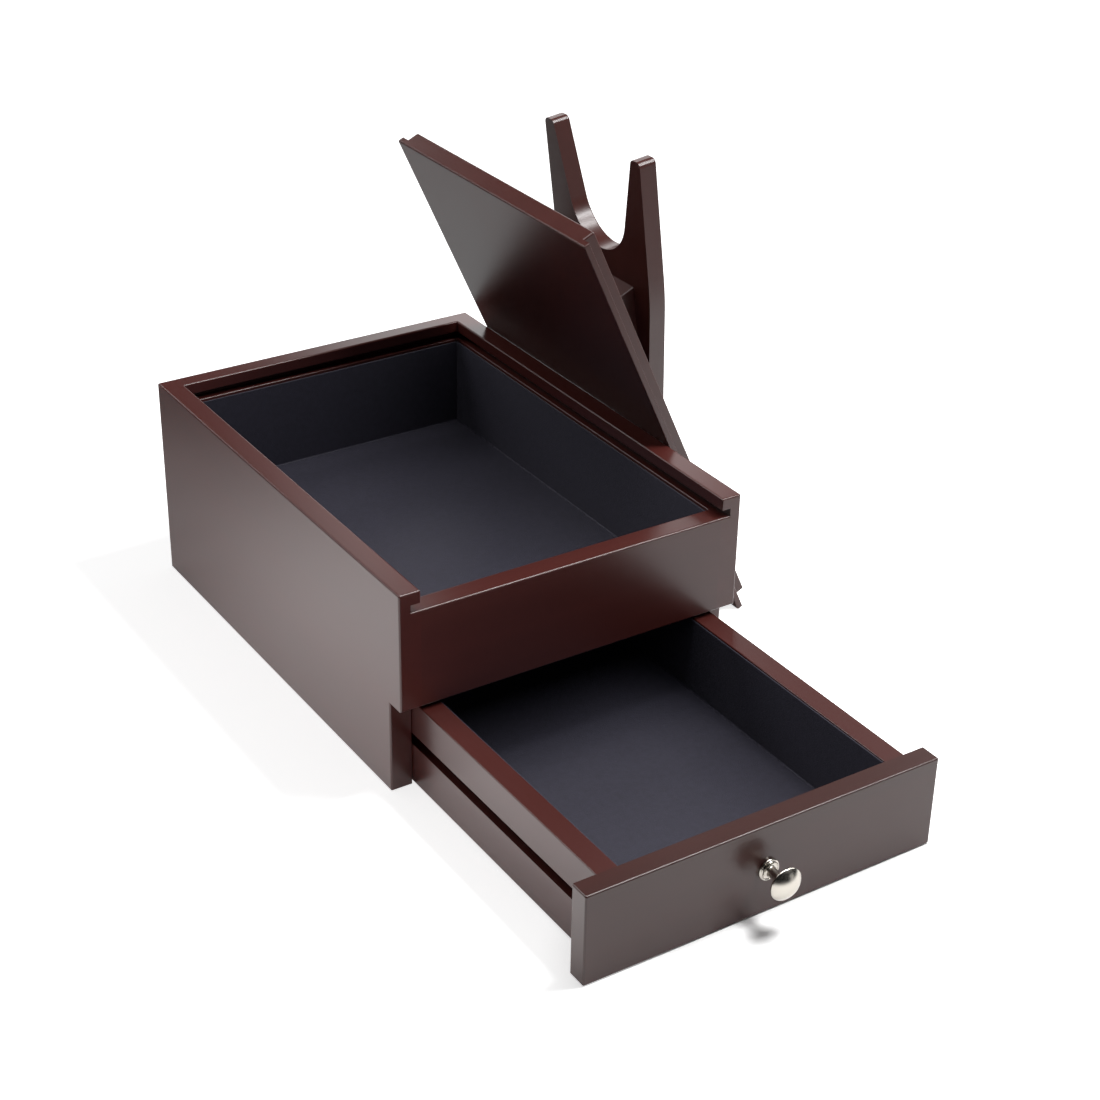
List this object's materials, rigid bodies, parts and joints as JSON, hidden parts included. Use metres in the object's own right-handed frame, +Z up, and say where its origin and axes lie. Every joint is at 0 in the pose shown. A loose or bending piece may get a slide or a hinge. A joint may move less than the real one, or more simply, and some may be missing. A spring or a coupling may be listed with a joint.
{
  "type": "shoe shine box",
  "caption": "Lacquered wooden shoe shine box with an open lined tray, a lined drawer below with a round knob, and a sliding lid with a forked shoe rest, leaning on its side.",
  "frame": {"origin": "middle of the case's footprint, at the level of the floor it stands on", "axes": "+Z up, -Y out through the drawer's face, +X towards the wall that the lid leans on"},
  "size_m": [0.3337, 0.5775, 0.3308],
  "materials": {
    "brown_lacquer": "dark red-brown satin lacquer over smooth hardwood, pores filled",
    "lining": "matt blue-black lining cloth with a fine even grain",
    "dowel_wood": "plain turned beech",
    "runner_wood": "plain planed beech, waxed",
    "nickel": "satin nickel plate",
    "screw_steel": "plain zinc-plated steel"
  },
  "bodies": {
    "case": {"left_side": "brown_lacquer", "right_side": "brown_lacquer", "back_panel": "brown_lacquer", "front_panel": "brown_lacquer", "tray_floor": "brown_lacquer", "case_dowels": "dowel_wood", "left_runner": "runner_wood", "right_runner": "runner_wood", "runner_screws": "screw_steel", "tray_lining_floor": "lining", "tray_lining_left": "lining", "tray_lining_right": "lining", "tray_lining_front": "lining", "tray_lining_back": "lining"},
    "drawer": {"drawer_front": "brown_lacquer", "drawer_left_side": "brown_lacquer", "drawer_right_side": "brown_lacquer", "drawer_back": "brown_lacquer", "drawer_bottom": "brown_lacquer", "drawer_dowels": "dowel_wood", "drawer_lining_floor": "lining", "drawer_lining_left": "lining", "drawer_lining_right": "lining", "drawer_lining_front": "lining", "drawer_lining_back": "lining", "knob": "nickel", "knob_rose": "nickel", "knob_screw": "screw_steel"},
    "lid": {"lid_panel": "brown_lacquer", "rest_block": "brown_lacquer", "fork_board": "brown_lacquer", "block_dowels": "dowel_wood", "tail_dowels": "dowel_wood"}
  },
  "joints": [
    {"name": "drawer_slide", "type": "slide", "parent": "case", "child": "drawer", "axis": [0, 1, 0], "range_m": [-0.045, 0.205]},
    {"name": "lid_slide", "type": "slide", "parent": "case", "child": "lid", "axis": [-0.4226, 0, 0.9063], "range_m": [0, 0.15]}
  ]
}
